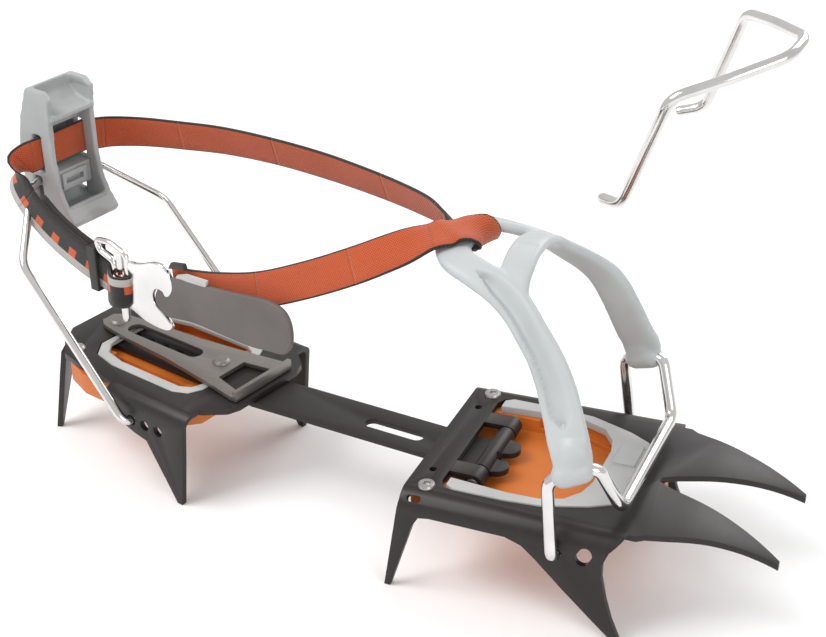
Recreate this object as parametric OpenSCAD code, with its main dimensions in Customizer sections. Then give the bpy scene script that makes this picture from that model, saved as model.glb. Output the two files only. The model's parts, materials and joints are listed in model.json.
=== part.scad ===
// Step-in crampon for a right boot: folded steel front and heel sections on a
// link bar, lever heel binding, flexible toe bail, ankle strap and a loose
// spare wire toe bail. X runs along the front section towards the toe, Y to
// the left, Z up. The origin is on the boot side of the front plate, in the
// middle of its rear crossbar, so boots rest on z = 0.

/* [Steel plates] */
// Thickness of the folded plates
plate_t = 2.5; // [2:0.1:3]
// Height of the boot plane above the tips of the points
point_h = 46; // [40:1:48]
// Half width of the front section over its flanges, at the rear
front_half = 45.8; // [44:0.2:46.4]
// Angle at which each front flange opens towards the toe
front_splay = 1.5; // [0.5:0.25:2]
// Half width of the heel section over its flanges
heel_half = 40.5; // [39.5:0.5:41.5]
// Outside radius of the front flange fold
front_fold = 8; // [6:0.5:9]
// Outside radius of the heel flange fold
heel_fold = 6; // [5:0.5:7]

/* [Link bar] */
// Width of the link bar
bar_w = 22; // [20:0.5:23]
// Thickness of the link bar
bar_t = 2.4; // [2:0.1:2.5]
// Distance between the length adjustment holes
hole_pitch = 9.2; // [8:0.1:10]
// Radius of the length adjustment holes
hole_r = 2.4; // [1.8:0.1:2.8]
// Angle between the heel section and the front section
heel_turn = 15.7; // [15:0.1:16.4]
// Angle of the bar's straight front part
bar_turn = 7.2; // [6.8:0.1:7.6]

/* [Wires] */
// Diameter of the toe bail wires
toe_wire_d = 5; // [4:0.2:5.2]
// Diameter of the heel bail wire
heel_wire_d = 4; // [3.4:0.2:4]

/* [Strap] */
// Width of the webbing
strap_w = 15; // [13:0.5:16]
// Thickness of the webbing
strap_t = 1.6; // [1.2:0.1:1.8]

/* [Lever] */
// Half width of the heel lever
lever_half = 13.5; // [13:0.25:14]
// Thickness of the lever's side walls
lever_wall = 2.7; // [2.4:0.1:3]

/* [Hidden] */
$fn = 48;
// Distance from the turning point of the heel section to the origin
datum_x = 63;
// Where the bar bends, in front coordinates before the shift to the origin
bend = [-28.5, 9.5];
// Middle height of the link bar and of its hinge
bar_z = -4;
wr = toe_wire_d / 2;
hr = heel_wire_d / 2;

// ---- shared functions ----
function unit(v) = v / norm(v);
function lerp(a, b, t) = a + (b - a) * t;
// a path through corner points p with each corner rounded over a distance d
function rounded(p, d, k = 4) = let(n = len(p)) concat([p[0]],
    [for (i = [1 : n - 2]) let(u = unit(p[i - 1] - p[i]), w = unit(p[i + 1] - p[i]),
        e = min(d, norm(p[i - 1] - p[i]) * 0.48, norm(p[i + 1] - p[i]) * 0.48))
        for (j = [0 : k]) let(t = j / k)
            (1 - t) * (1 - t) * (p[i] + u * e) + 2 * t * (1 - t) * p[i] + t * t * (p[i] + w * e)],
    [p[n - 1]]);
// a smooth curve through points p, m steps between each pair
function spline(p, m) = let(n = len(p), g = function(i) p[max(0, min(n - 1, i))])
    concat([for (i = [0 : n - 2]) for (j = [0 : m - 1]) let(t = j / m, a = g(i - 1), b = g(i), c = g(i + 1), d = g(i + 2))
        0.5 * (2 * b + (c - a) * t + (2 * a - 5 * b + 4 * c - d) * t * t + (3 * b - a - 3 * c + d) * t * t * t)], [p[n - 1]]);
function tangent(q, i) = unit(q[min(len(q) - 1, i + 1)] - q[max(0, i - 1)]);
// a frame carried along path q without twist
function carry(q, i, prev) = i >= len(q) ? [] :
    let(t = tangent(q, i), s = prev - (prev * t) * t, u = unit(s)) concat([u], carry(q, i + 1, u));
// faces of a closed tube of n rings with s points each
function tube_faces(n, s) = concat([[for (i = [0 : s - 1]) i]],
    [for (r = [0 : n - 2]) for (i = [0 : s - 1]) [r * s + i, (r + 1) * s + i, (r + 1) * s + (i + 1) % s]],
    [for (r = [0 : n - 2]) for (i = [0 : s - 1]) [r * s + i, (r + 1) * s + (i + 1) % s, r * s + (i + 1) % s]],
    [[for (i = [s - 1 : -1 : 0]) (n - 1) * s + i]]);

// round wire of radius r along path q
module wire(q, r, s = 14, start = [0.3, 0.2, 1]) {
    u = carry(q, 0, start);
    polyhedron(points = [for (k = [0 : len(q) - 1]) let(t = tangent(q, k), a = u[k], b = cross(t, a))
        for (i = [0 : s - 1]) q[k] + r * (cos(360 * i / s) * a + sin(360 * i / s) * b)],
        faces = tube_faces(len(q), s));
}
// flat webbing along path q; w is the list of width directions
module webbing(q, w) {
    polyhedron(points = [for (k = [0 : len(q) - 1]) let(t = tangent(q, k), a = unit(w[k] - (w[k] * t) * t), b = cross(t, a))
        for (c = [[1, 1], [-1, 1], [-1, -1], [1, -1]]) q[k] + c[0] * strap_w / 2 * a + c[1] * strap_t / 2 * b],
        faces = tube_faces(len(q), 4));
}
// a through slot along X, centred, with round ends
module oblong(l, r, h) {
    translate([-(l / 2 - r), 0, 0]) cylinder(r = r, h = h, center = true);
    translate([l / 2 - r, 0, 0]) cylinder(r = r, h = h, center = true);
    cube([l - 2 * r, 2 * r, h], center = true);
}
// both sides of a mirrored shape
module pair() { children(); mirror([0, 1, 0]) children(); }
// cross-section of a plate with one folded flange, drawn in Y and Z
module fold_section(half, r, h) {
    translate([-8, -plate_t]) square([half - r + 8, plate_t]);
    intersection() {
        translate([half - r, -r]) difference() { circle(r = r); circle(r = r - plate_t); }
        translate([half - r, -r]) square([r + 1, r + 1]);
    }
    translate([half - plate_t, -h]) square([plate_t, h - r]);
}
module along_x(x0, x1) { translate([x0, 0, 0]) rotate([90, 0, 90]) linear_extrude(x1 - x0) children(); }
module side_cut(w) { rotate([90, 0, 0]) linear_extrude(w, center = true) children(); }
module front_place() { translate([-datum_x, 0, 0]) children(); }
module heel_place() { translate([-datum_x, 0, 0]) rotate([0, 0, -heel_turn]) children(); }

// ---- front section ----
module front_plan() {
    // right half of the outline, mirrored for the left
    for (m = [0, 1]) mirror([0, m]) polygon([[48, -1], [48, 60], [156, 60], [156, 45], [150, 42.5],
        [151.5, 40.4], [155, 38], [164, 35.6], [178, 31], [190, 27.8], [203.2, 24.6], [203.2, 22.4], [189, 17], [177, 12.4],
        [165, 8], [156, 4.6], [150.5, 1.6], [149.5, -1]]);
}
module front_teeth() {
    polygon([[57, 1], [57, -3.4], [49.6, -point_h], [52.2, -point_h], [62.8, -14], [65.6, -9.6],
        [70, -8.7], [102, -8.4], [108.8, -10.6], [114, -15], [124.7, -25.5], [137, -37], [147, -point_h], [149.6, -point_h],
        [145.6, -36], [143.2, -27], [141.4, -17], [141.6, -11], [144, -5], [149, 0], [215, 0], [215, 1]]);
}
module front_opening() {
    for (m = [0, 1]) mirror([0, m]) polygon([[70, -1], [70, 31], [72, 35], [76, 36], [97, 36], [112, 34.6], [130, 28.4],
        [139, 23.4], [142, 19], [143, 12], [143, -1]]);
}
module front_frame() {
    color([0.2, 0.18, 0.18]) front_place() difference() {
        union() {
            intersection() {
                union() for (m = [0, 1]) mirror([0, m, 0]) translate([57, 0, 0]) rotate([0, 0, front_splay])
                    along_x(-8, 100) fold_section(front_half, front_fold, point_h);
                translate([0, 0, -60]) linear_extrude(62) front_plan();
                side_cut(130) front_teeth();
            }
            // front points, one blade each, bent down along a long arc
            intersection() {
                side_cut(80) {
                    translate([146, -plate_t]) square([19, plate_t]);
                    intersection() {
                        translate([165, -77.6]) difference() { circle(r = 77.6, $fn = 180); circle(r = 77.6 - plate_t, $fn = 180); }
                        translate([165, -20]) square([50, 30]);
                    }
                }
                translate([0, 0, -60]) linear_extrude(62) front_plan();
            }
        }
        translate([0, 0, -20]) linear_extrude(40) front_opening();
        // screw holes, small crossbar holes, corner holes
        pair() translate([65.6, 36.6, -20]) cylinder(r = 2.1, h = 40);
        pair() translate([63.6, 25, -20]) cylinder(r = 1.6, h = 40);
        pair() translate([63, 43, -3]) rotate([-45, 0, 0]) oblong(6, 1.4, 20);
        // bail slots in each flange
        pair() translate([122.5, 48, -10.5]) rotate([90, 0, 0]) cylinder(r = 2.8, h = 14, center = true);
        pair() translate([134.2, 48, -9.2]) rotate([90, 0, 0]) rotate([0, 0, 62]) oblong(8.4, 2.8, 14);
    }
    // curled loops of the link hinge
    color([0.2, 0.18, 0.18]) front_place() pair() difference() {
        union() {
            translate([69, 15.4, -plate_t]) cube([11, 8, plate_t - 0.2]);
            translate([80, 15.4, bar_z]) rotate([-90, 0, 0]) cylinder(r = 3.8, h = 8);
        }
        translate([80, 10, bar_z]) rotate([-90, 0, 0]) cylinder(r = 1.56, h = 20);
    }
}
module front_core_plan() {
    for (m = [0, 1]) mirror([0, m]) polygon([[60, -1], [60, 40], [112, 39.4], [124, 34.5], [138, 28.5], [146, 15], [151.5, 7], [151.5, -1]]);
}
module front_antisnow_core() {
    color([0.8, 0.4, 0.12]) front_place() difference() {
        translate([0, 0, -12]) linear_extrude(9.2) front_core_plan();
        // tray, stepped
        translate([0, 0, -9]) linear_extrude(12) polygon([[92, -27], [108, -29], [124, -23], [133, -15], [136, -6], [136, 6],
            [133, 15], [124, 23], [108, 29], [92, 27]]);
        translate([0, 0, -6.5]) linear_extrude(12) polygon([[90, -30], [110, -31.4], [127, -24.4], [136, -16], [139, -6], [139, 6],
            [136, 16], [127, 24.4], [110, 31.4], [90, 30]]);
        // room for the hinge
        translate([50, -28, -9]) cube([43, 56, 30]);
        pair() translate([65.6, 36.6, -20]) cylinder(r = 2.1, h = 40);
        pair() translate([110, 41, -20]) cube([30, 8, 30]);
    }
}
module front_antisnow_rim() {
    color([0.72, 0.72, 0.71]) front_place() {
        difference() {
            translate([0, 0, -2.8]) linear_extrude(3.4) for (m = [0, 1]) mirror([0, m]) polygon([[72.6, -1], [72.6, 33.4], [76, 35.6],
                [97, 35.6], [111.9, 34.2], [129.8, 28], [138.7, 23.1], [141.6, 18.8], [142.6, 12], [142.6, -1]]);
            translate([0, 0, -20]) linear_extrude(40) for (m = [0, 1]) mirror([0, m]) polygon([[72, -1], [72, 28.4], [84, 29.4],
                [97, 30.4], [110, 30], [119, 26.5], [124, 20], [126, 12], [126, -1]]);
        }
        // raised pad at the toe
        translate([129, 3, 0.6]) cube([9.5, 15, 1]);
    }
}
module front_screws() {
    color([0.75, 0.75, 0.76]) front_place() pair() translate([65.6, 36.6, 0]) difference() {
        union() {
            cylinder(r1 = 3.6, r2 = 3.2, h = 1.1);
            translate([0, 0, -9]) cylinder(r = 2, h = 10);
        }
        translate([-1.3, -1.3, 0.2]) cube([2.6, 2.6, 3]);
    }
}
module link_pin() {
    color([0.45, 0.44, 0.44]) front_place() translate([80, 0, bar_z]) rotate([90, 0, 0]) {
        cylinder(r = 1.5, h = 49, center = true);
        for (s = [-1, 1]) translate([0, 0, s * 24.6]) cylinder(r = 2.7, h = 1.6, center = true);
    }
}
// ---- link bar ----
module link_bar() {
    color([0.19, 0.17, 0.17]) front_place() difference() {
        union() {
            translate([bend[0], bend[1], bar_z - bar_t / 2]) {
                rotate([0, 0, -bar_turn]) translate([-1, -bar_w / 2, 0]) cube([108, bar_w, bar_t]);
                rotate([0, 0, -heel_turn]) translate([-98, -bar_w / 2, 0]) cube([99, bar_w, bar_t]);
                cylinder(r = bar_w / 2, h = bar_t, $fn = 96);
                rotate([0, 0, -heel_turn]) translate([-98, 0, 0]) cylinder(r = bar_w / 2, h = bar_t, $fn = 96);
            }
            // hinge knuckle and rounded lobes
            translate([80, 0, bar_z]) rotate([90, 0, 0]) cylinder(r = 3.8, h = 29.2, center = true);
            for (y = [-9.4, 4.6]) translate([85, y, bar_z - bar_t / 2]) cylinder(r = 4.8, h = bar_t);
            translate([77, -14.6, bar_z - bar_t / 2]) cube([8, 24.4, bar_t]);
        }
        translate([80, 0, bar_z]) rotate([90, 0, 0]) cylinder(r = 1.56, h = 60, center = true);
        translate([85, -3, -10]) cylinder(r = 2.6, h = 20);
        // long slot
        translate([35.6, 0.4, bar_z]) rotate([0, 0, -bar_turn]) oblong(28, 3.25, 20);
        // length adjustment holes
        rotate([0, 0, -heel_turn]) for (i = [0 : 7]) translate([-57.4 - hole_pitch * i, 1.5, -20]) cylinder(r = hole_r, h = 40);
    }
}
// ---- heel section ----
module heel_teeth() {
    polygon([[-88, 1], [-88, -3], [-82, -8], [-78.5, -16], [-72, -18.4], [-64.5, -20], [-48.4, -point_h], [-45.6, -point_h],
        [-42.6, -22], [-40.8, -6], [-39, 1]]);
}
module heel_plan() {
    for (m = [0, 1]) mirror([0, m]) polygon([[-138, -1], [-138, 14], [-131, 25], [-123, 32.2], [-112, 34.4], [-100, 35.4], [-88, 36.8], [-80, 34.6],
        [-46, 34.6], [-38, 30], [-30, 23.5], [-28, 18], [-28, -1]]);
}
module heel_opening() {
    for (m = [0, 1]) mirror([0, m]) polygon([[-117, -1], [-117, 16], [-111, 24], [-98, 27], [-60, 27], [-53, 24], [-50, 18], [-50, -1]]);
}
module heel_frame() {
    color([0.2, 0.18, 0.18]) heel_place() difference() {
        union() {
            translate([0, 0, -plate_t]) linear_extrude(plate_t) heel_plan();
            intersection() {
                union() for (m = [0, 1]) mirror([0, m, 0]) along_x(-90, -36) difference() {
                    fold_section(heel_half, heel_fold, point_h);
                    translate([-20, -60]) square([48, 80]);
                }
                side_cut(120) heel_teeth();
            }
            // rear points
            pair() rear_tooth();
        }
        translate([0, 0, -20]) linear_extrude(40) heel_opening();
        pair() for (i = [0 : 2]) translate([-72.9 + 8.2 * i, 40, -12.5]) rotate([90, 0, 0]) cylinder(r = 2.5, h = 12, center = true);
        pair() translate([-121.7, 25.4, -20]) cylinder(r = 1.6, h = 40);
    }
}
module rear_tooth() {
    // stands on the slanting rear corner and leans outwards
    translate([-138, 14, -1]) rotate([0, 0, 57]) rotate([12, 0, 0]) intersection() {
        translate([0, -plate_t, -60]) cube([30, plate_t, 60]);
        side_cut(40) polygon([[0, 0], [20.4, 0], [18.6, -14], [12.8, -46], [10.2, -46], [3, -17]]);
    }
}
module heel_core_plan() {
    for (m = [0, 1]) mirror([0, m]) polygon([[-128, -1], [-128, 18], [-120, 32], [-106, 36.8], [-94, 36.8], [-88, 31.5], [-52, 31.5], [-46, 24], [-46, -1]]);
}
module heel_antisnow_core() {
    color([0.8, 0.4, 0.12]) heel_place() difference() {
        translate([0, 0, -12.6]) linear_extrude(9.8) heel_core_plan();
        // channel for the link bar and its guide
        translate([-140, -14.5, -6.2]) cube([100, 32, 10]);
        translate([-50, -15, -10]) cube([20, 33, 20]);
        // snow side pockets seen through the opening
        pair() translate([-108, 13, -8]) cube([46, 11.8, 12]);
        pair() translate([-121.7, 25.4, -20]) cylinder(r = 1.6, h = 40);
    }
}
module heel_antisnow_rim() {
    color([0.72, 0.72, 0.71]) heel_place() difference() {
        translate([0, 0, -2.4]) linear_extrude(2.4) for (m = [0, 1]) mirror([0, m]) polygon([[-116.6, -1], [-116.6, 15.8],
            [-110.8, 23.7], [-97.8, 26.6], [-60.2, 26.6], [-53.3, 23.7], [-50.4, 17.8], [-50.4, -1]]);
        translate([0, 0, -20]) linear_extrude(40) for (m = [0, 1]) mirror([0, m]) polygon([[-113, -1], [-113, 13],
            [-108, 19], [-97, 21.5], [-61, 21.5], [-56, 19], [-54, 14], [-54, -1]]);
    }
}
module heel_rivets() {
    color([0.6, 0.59, 0.58]) heel_place() pair() translate([-121.7, 25.4, 0]) {
        cylinder(r1 = 3.6, r2 = 2.6, h = 1.3);
        translate([0, 0, -9]) cylinder(r = 1.55, h = 9.5);
    }
}
module bar_guide() {
    color([0.3, 0.29, 0.29]) heel_place() {
        translate([-46, -13.6, -7.8]) cube([11, 30.2, 2]);
        translate([-46, -13.6, -6]) cube([11, 2, 6 - plate_t]);
        translate([-46, 14.6, -6]) cube([11, 2, 6 - plate_t]);
    }
}
module lock_lever() {
    color([0.6, 0.58, 0.56]) heel_place() difference() {
        union() {
            translate([0, 0, 0.5]) linear_extrude(2) for (m = [0, 1]) mirror([0, m]) polygon([[-128.5, -0.1], [-128.5, 3.6],
                [-125.5, 6], [-119.5, 7.2], [-106, 8.8], [-80, 10.8], [-64, 13], [-46, 15.6], [-34, 17.8], [-31, 17.6], [-31, -0.1]]);
            translate([-128.5, 0, 1.5]) rotate([90, 0, 0]) cylinder(r = 1, h = 7.2, center = true);
            translate([-32.4, -17.6, 0.5]) cube([2, 35.2, 4.6]);
        }
        translate([-91.4, 0, 0]) oblong(45, 4, 20);
        linear_extrude(20, center = true) polygon([[-49, -9], [-34.4, -12.6], [-34.4, 9.6], [-49, 7]]);
        translate([-57.4, 1.5, -5]) cylinder(r = 2, h = 20);
        translate([-122, 0, -5]) cylinder(r = 2, h = 20);
    }
}
module lock_pivot_rivet() {
    color([0.5, 0.49, 0.48]) heel_place() translate([-122, 0, 0.5]) {
        cylinder(r = 2, h = 2.2);
        translate([0, 0, 2]) cylinder(r1 = 4.2, r2 = 3, h = 1.4);
    }
}
module lock_peg() {
    color([0.5, 0.49, 0.48]) heel_place() translate([-57.4, 1.5, 0]) {
        translate([0, 0, -2.3]) cylinder(r = 2, h = 5);
        translate([0, 0, 2.5]) cylinder(r1 = 4.2, r2 = 3, h = 1.4);
    }
}
// ---- heel binding ----
module heel_wire() {
    half = [[-72.9, 33.6, -12.5], [-72.9, 44.4, -12.5], [-129.6, 43.2, 47], [-149, 17.4, 71]];
    p = concat([for (v = half) v], [for (i = [3 : -1 : 0]) [half[i][0], -half[i][1], half[i][2]]]);
    color([0.8, 0.8, 0.81]) heel_place() wire(rounded(p, 4.5, 4), hr);
}
module height_slider() {
    color([0.62, 0.62, 0.61]) heel_place() difference() {
        union() {
            side_cut(20.8) polygon([[-153, 75.4], [-153, 69.8], [-147.6, 65.4], [-141, 65.4], [-141, 75.4]]);
            translate([-142, -7, 66.5]) cube([2.4, 14, 7.6]);
        }
        translate([-149, 0, 71]) rotate([90, 0, 0]) cylinder(r = hr + 0.06, h = 60, center = true);
        translate([-142, -5, 69]) cube([4, 10, 2.6]);
    }
}
module lever_outline() {
    polygon([[-150, 115], [-156, 100], [-159.4, 84], [-158.6, 68], [-155, 58], [-148, 51], [-140, 49.8], [-130, 52],
        [-127.4, 55], [-132, 61], [-135.6, 69], [-137.2, 82], [-136.8, 100], [-135.4, 111.6], [-139, 115]]);
}
module heel_lever() {
    color([0.63, 0.63, 0.62]) heel_place() difference() {
        side_cut(2 * lever_half) lever_outline();
        // channel open towards the boot
        side_cut(2 * (lever_half - lever_wall)) polygon([[-147.4, 112], [-153.2, 99], [-156.4, 84], [-155.6, 68], [-152.4, 60],
            [-147, 56.4], [-138, 56], [-133, 59], [-124, 68], [-124, 106], [-130, 112]]);
        // side slots for the wire and the strap
        for (s = [-1, 1]) translate([0, s * lever_half, 0]) {
            translate([-151.7, -5, 59.2]) cube([5.4, 10, 14.4]);
            translate([-148.6, -5, 76.2]) cube([5.2, 10, 17.6]);
        }
        // heel seat, scooped across the lower end
        translate([-113, 0, 40]) cylinder(r = 16.4, h = 30);
    }
}
module lever_insert() {
    color([0.6, 0.6, 0.59]) heel_place() {
        translate([-150.4, -(lever_half - lever_wall), 95]) cube([6.4, 2 * (lever_half - lever_wall), 9.6]);
    }
}
module strap_lever_pass() {
    color([0.72, 0.34, 0.16]) heel_place() translate([-146 - strap_t / 2, -14.4, 85 - strap_w / 2]) cube([strap_t, 28.8, strap_w]);
}
// ---- strap ----
ankle_path = [[-146, -15.2, 85], [-146, -17, 84.6], [-144.6, -20.4, 82.4], [-140, -23.6, 75.6], [-133.4, -25.6, 67.4], [-126, -26.5, 59], [-116, -27, 54],
              [-104, -27, 50], [-94, -26.4, 47]];
ankle_wide = [[0, 0, 1], [0, 0, 1], [0.1, 0.1, 1], [0.25, 0.1, 1], [0.35, 0.1, 1], [0.3, 0.1, 1], [0.25, 0.1, 1], [0.2, 0.05, 1], [0.15, 0, 1]];
far_path = [[-136, 56.6, 84.6], [-128, 62.4, 84], [-115, 66.6, 83.6], [-96, 68, 84], [-72, 66.4, 85.4], [-45, 62, 86],
            [-18, 55.6, 86], [5, 48, 86], [25, 40, 86], [42, 31, 86.4], [53, 23.4, 86.6], [59.6, 17.4, 86.6]];
far_wide = [[0, 0, 1], [0, -0.1, 1], [0, -0.15, 1], [0, -0.2, 1], [0, -0.25, 1], [0, -0.3, 1], [0, -0.3, 1], [0, -0.35, 1], [0, -0.4, 1],
            [0, -0.5, 1], [0.1, -0.8, 0.8], [0.3, -1, 0.4]];
near_path = [[-57, -9, 53.6], [-36, -13.4, 57], [-14, -17.4, 63], [8, -19.4, 72.2], [29, -19, 82], [46, -16.8, 90.6],
             [58.4, -12.8, 96]];
near_wide = [[0, 0.1, 1], [0, 0.2, 1], [0, 0.3, 1], [-0.1, 0.38, 1], [-0.1, 0.45, 1], [-0.1, 0.8, 1], [0.1, 1, 0.5]];
loop_path = [[60.4, 16.6, 86.4], [67, 11.5, 86.6], [73, 7, 87.4], [75.7, 4.6, 90.6], [75.4, 2, 94.6], [71.6, -1.6, 96.8], [66, -6.4, 97.2],
             [59.4, -12, 96.6]];
loop_wide = [[0.4, 1, -0.4], [0.5, 1, -0.2], [0.4, 1, 0], [0.3, 1, 0], [0.3, 1, 0], [0.3, 1, 0], [0.3, 1, 0.1], [0.15, 1, 0.4]];
module strap_ankle_near() {
    color([0.12, 0.11, 0.11]) heel_place() webbing(spline(ankle_path, 3), spline(ankle_wide, 3));
}
module strap_far() {
    color([0.72, 0.34, 0.16]) front_place() webbing(spline(far_path, 3), spline(far_wide, 3));
}
module strap_near() {
    color([0.72, 0.34, 0.16]) front_place() webbing(spline(near_path, 3), spline(near_wide, 3));
}
module strap_toe_loop() {
    color([0.72, 0.34, 0.16]) front_place() webbing(spline(loop_path, 3), spline(loop_wide, 3));
}
module strap_tab() {
    color([0.36, 0.35, 0.34]) front_place() translate([-64, -13, 0]) rotate([0, 0, -9]) rotate([90, 0, 0]) linear_extrude(2.4)
        polygon([[0, 34], [-1, 46], [2, 52], [20, 50], [46, 46.6], [64, 45], [67.4, 41], [66, 34.6], [61, 32], [38, 30.6], [14, 31]]);
}
module strap_keeper() {
    color([0.16, 0.15, 0.15]) heel_place() translate([-101.6, -30, 38.4]) difference() {
        cube([5, 7.2, 21]);
        translate([-1, 1.6, 1.6]) cube([7, 4, 17.8]);
    }
}
module buckle_pin() {
    color([0.8, 0.8, 0.81]) heel_place() translate([-83.4, -27, 30]) cylinder(r = 2, h = 32);
}
module buckle_plate() {
    color([0.8, 0.8, 0.81]) heel_place() difference() {
        union() {
            translate([0, -26, 0]) rotate([90, 0, 0]) linear_extrude(2) difference() {
                polygon([[-83, 55.4], [-83, 61], [-77, 58.6], [-70, 61.6], [-60, 61.6], [-54.6, 57], [-54, 50.6], [-58, 48.6], [-64, 48],
                    [-64, 43.6], [-57.6, 42.4], [-57, 37], [-60, 30.4], [-64, 29.6], [-70, 35], [-83, 31], [-83, 37], [-78, 39], [-78, 54]]);
                translate([-70, 53]) circle(r = 2.4);
            }
            for (z = [31, 55.2]) translate([-83.4, -27, z]) cylinder(r = 3.6, h = 5.8);
        }
        translate([-83.4, -27, 0]) cylinder(r = 2.06, h = 90);
    }
}
// ---- toe binding ----
// rounded flat section swept along path q: w half width vectors, t half thickness
module sweep(q, w, t, s = 12) {
    polyhedron(points = [for (k = [0 : len(q) - 1]) let(d = tangent(q, k), a = w[k] - (w[k] * d) * d, b = t[k][0] * unit(cross(d, a)))
        for (i = [0 : s - 1]) let(g = 360 * i / s, cs = cos(g), sn = sin(g))
            q[k] + sign(cs) * pow(abs(cs), 0.6) * a + sign(sn) * pow(abs(sn), 0.75) * b],
        faces = tube_faces(len(q), s));
}
// each arm from its tunnel end to the middle of the rear rim: centre, half width vector, half thickness
arm = [[[128.6, 45.4, 27], [8, 0, 1.4], 3.2], [[127.6, 44.6, 33], [8.8, 0, 0], 2.8], [[126, 43.1, 38], [8.8, 0, 0], 2.6],
       [[123.9, 41.3, 44], [8.6, 0, 0], 2.5], [[121.8, 39.8, 50], [8.5, 0, 0], 2.5], [[119.6, 38.2, 56], [8.4, 0, 0], 2.5],
       [[116.9, 36.9, 62], [8, 0, 1], 2.5], [[113.2, 35, 68], [6.6, -0.6, 3], 2.5], [[107.4, 31.6, 74], [4.6, -2.4, 4.2], 2.5],
       [[99.5, 26.4, 80.7], [3.6, -3.8, 4.2], 2.5], [[91, 23, 85.8], [2.4, -5, 3.8], 2.4], [[81, 20.4, 89.2], [2.4, -5.4, 2.6], 2.4],
       [[72.5, 16.8, 91.2], [4.4, -5, 1.4], 2.4], [[67.6, 9.5, 92.1], [6.4, -3.2, 0.3], 2.4], [[66.3, 0, 92.4], [7.5, 0, 0], 2.4],
       [[66.5, -2, 92.4], [7.5, 0, 0], 2.4]];
bridge = [[[98, -25, 82.4], [5.6, 0, 1], 2.2], [[95.6, -18, 88], [6.4, 0, 0], 2.2], [[94.8, -9, 91.6], [6.5, 0, 0], 2.2],
          [[94.6, 0, 92.8], [6.5, 0, 0], 2.2], [[94.8, 9, 91.6], [6.5, 0, 0], 2.2], [[95.6, 18, 88], [6.4, 0, 0], 2.2],
          [[98, 25, 82.4], [5.6, 0, 1], 2.2]];
module swept(a, m) {
    sweep(spline([for (v = a) v[0]], m), spline([for (v = a) v[1]], m), spline([for (v = a) [v[2], 0, 0]], m));
}
module flex_bail() {
    color([0.72, 0.74, 0.76]) front_place() difference() {
        union() {
            pair() swept(arm, 2);
            swept(bridge, 2);
            pair() hull() {
                translate([123.4, 47.2, 24.6]) sphere(r = 5, $fn = 24);
                translate([134, 44.2, 28.5]) sphere(r = 5, $fn = 24);
            }
        }
        // wire tunnels
        wire(toe_wire_path(), wr + 0.15, 18);
    }
}
function toe_wire_path() = let(half = [[122.5, 42.6, -10.5], [122.5, 51, -10.5], [119.6, 48.4, 22.9], [137.4, 43.2, 29.8], [144.7, 34.4, 7.3]])
    rounded(concat(half, [for (i = [4 : -1 : 0]) [half[i][0], -half[i][1], half[i][2]]]), 4.4, 4);
module toe_wire() {
    color([0.8, 0.8, 0.81]) front_place() wire(toe_wire_path(), wr, 18);
}
// ---- spare wire toe bail, carried beside the crampon ----
module spare_toe_bail() {
    half = [[-12, 39.6, -1.6], [0, 44.6, 0], [24.4, 40, 53], [43, 26.8, 57.2], [64, 8.4, 62]];
    p = concat([for (v = half) v], [for (i = [4 : -1 : 0]) [half[i][0], -half[i][1], half[i][2]]]);
    color([0.8, 0.8, 0.81]) front_place() translate([107.8, 141.4, 74.4]) rotate([8.4, -2.4, -8.8]) wire(rounded(p, 6, 4), wr);
}

front_frame();
front_antisnow_core();
front_antisnow_rim();
front_screws();
link_pin();
link_bar();
heel_frame();
heel_antisnow_core();
heel_antisnow_rim();
heel_rivets();
bar_guide();
lock_lever();
lock_pivot_rivet();
lock_peg();
heel_wire();
height_slider();
heel_lever();
lever_insert();
strap_lever_pass();
strap_ankle_near();
strap_far();
strap_near();
strap_toe_loop();
strap_tab();
strap_keeper();
buckle_pin();
buckle_plate();
flex_bail();
toe_wire();
spare_toe_bail();
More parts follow.
